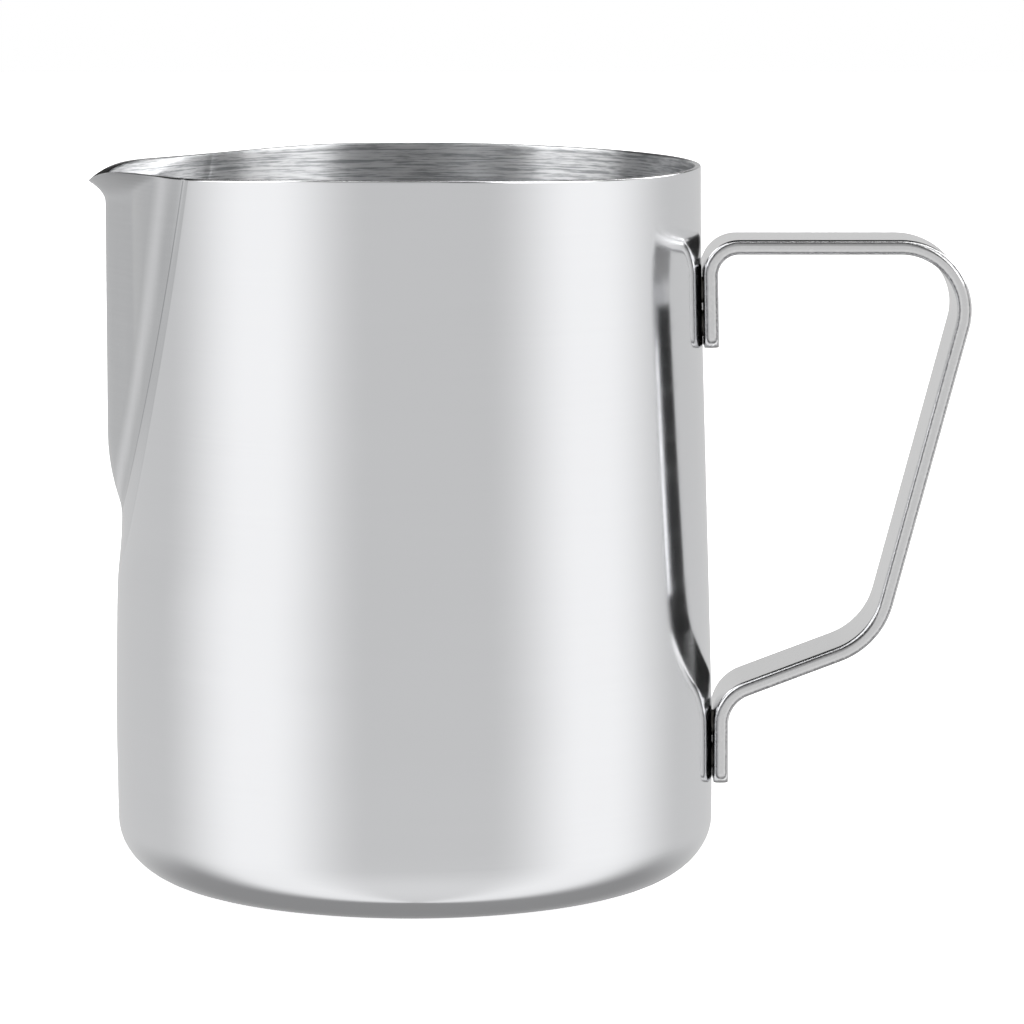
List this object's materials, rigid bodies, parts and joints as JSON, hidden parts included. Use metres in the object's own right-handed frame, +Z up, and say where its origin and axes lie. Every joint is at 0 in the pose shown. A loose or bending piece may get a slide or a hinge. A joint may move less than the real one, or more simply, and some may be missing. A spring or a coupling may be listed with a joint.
{
  "type": "milk frothing pitcher",
  "caption": "Stainless steel milk frothing pitcher: a slightly tapering round cup with a flat base and a pressed pouring spout, and an open strap handle opposite the spout.",
  "frame": {"origin": "middle of the base's underside, on the surface the pitcher stands on, on the cup's axis", "axes": "+Z up along the cup's axis, -X towards the spout, +X towards the handle, +Y to the right hand side when looking from the handle to the spout"},
  "size_m": [0.11, 0.075, 0.09],
  "materials": {
    "cup_steel": "polished outside, satin with brush lines round the inside",
    "handle_steel": "polished, with rounded bright edges",
    "weld_steel": "dull, heat-tinted"
  },
  "bodies": {
    "root": {"pitcher_body": "cup_steel", "handle": "handle_steel", "upper_foot_welds": "weld_steel", "lower_foot_welds": "weld_steel"}
  },
  "joints": []
}
